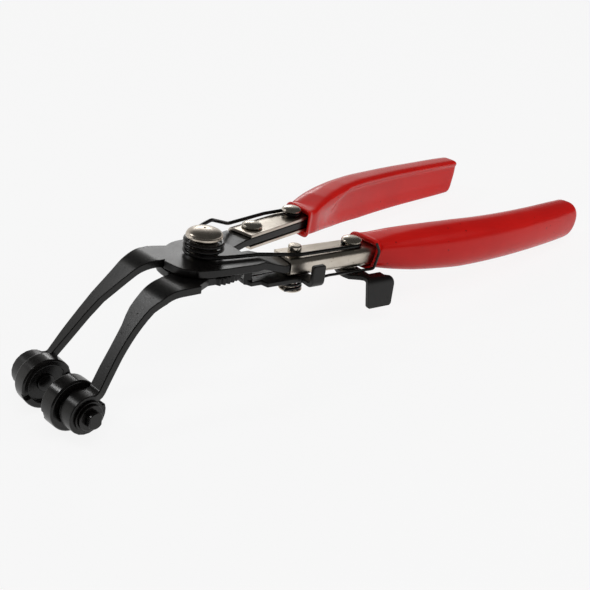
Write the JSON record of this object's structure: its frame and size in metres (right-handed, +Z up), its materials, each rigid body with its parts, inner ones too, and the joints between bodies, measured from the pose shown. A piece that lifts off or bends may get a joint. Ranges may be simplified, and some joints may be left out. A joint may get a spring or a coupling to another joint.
{
  "type": "angled hose clamp pliers",
  "caption": "Long pliers with cranked jaw arms that carry swivel jaws for flat band hose clamps, a toothed locking pawl with a release lever, an opening spring and dipped red grips.",
  "frame": {"origin": "centre of the bounding box in X and Y, on the surface that the pliers lie on", "axes": "+X runs from the jaws to the grips, +Y to the far handle, +Z up; the pliers lie on their jaws and grips, so the pivot axis leans 8.2 degrees from +Z towards +X"},
  "size_m": [0.2572, 0.083, 0.0486],
  "materials": {
    "black_steel": "black oxide, satin with a light oil sheen and fine pitting",
    "nickel": "warm nickel plate, brushed",
    "red_vinyl": "glossy dipped vinyl"
  },
  "bodies": {
    "upper": {"upper_lever": "black_steel", "pivot_rivet": "nickel", "pivot_washer": "nickel", "main_spring": "black_steel", "near_channel": "nickel", "near_grip": "red_vinyl", "near_rear_rivet": "nickel", "pawl_pin": "nickel", "pawl_spring": "black_steel", "release_spacer": "nickel"},
    "lower": {"lower_lever": "black_steel", "far_channel": "nickel", "far_front_rivet": "nickel", "far_rear_rivet": "nickel", "far_grip": "red_vinyl"},
    "far_jaw": {"far_swivel_jaw": "black_steel", "far_swivel_pin": "black_steel", "far_retaining_clip": "black_steel"},
    "near_jaw": {"near_swivel_jaw": "black_steel", "near_swivel_pin": "black_steel", "near_retaining_clip": "black_steel"},
    "pawl": {"pawl": "black_steel"},
    "release": {"release_lever": "black_steel"}
  },
  "joints": [
    {"name": "lever_pivot", "type": "hinge", "parent": "upper", "child": "lower", "pos_m": [-0.05734, 0, 0.03553], "axis": [0.1425, 0, 0.9898], "range_deg": [-9, 18], "stiffness_Nm_per_rad": 2.5, "deforming": ["main_spring"]},
    {"name": "far_jaw_swivel", "type": "hinge", "parent": "upper", "child": "far_jaw", "pos_m": [-0.11941, 0.00809, 0.00911], "axis": [0.0514, 0.9986, -0.0074], "continuous": true},
    {"name": "near_jaw_swivel", "type": "hinge", "parent": "lower", "child": "near_jaw", "pos_m": [-0.11941, -0.00809, 0.00911], "axis": [0.0514, -0.9986, -0.0074], "continuous": true},
    {"name": "pawl_hinge", "type": "hinge", "parent": "upper", "child": "pawl", "pos_m": [-0.02587, -0.01304, 0.02595], "axis": [0.1425, 0, 0.9898], "range_deg": [0, 8], "stiffness_Nm_per_rad": 0.05, "springref_deg": -11.46, "deforming": ["pawl_spring"]},
    {"name": "release_hinge", "type": "hinge", "parent": "upper", "child": "release", "pos_m": [0.00001, -0.01706, 0.02051], "axis": [0.1425, 0, 0.9898], "range_deg": [-15, 0]}
  ]
}
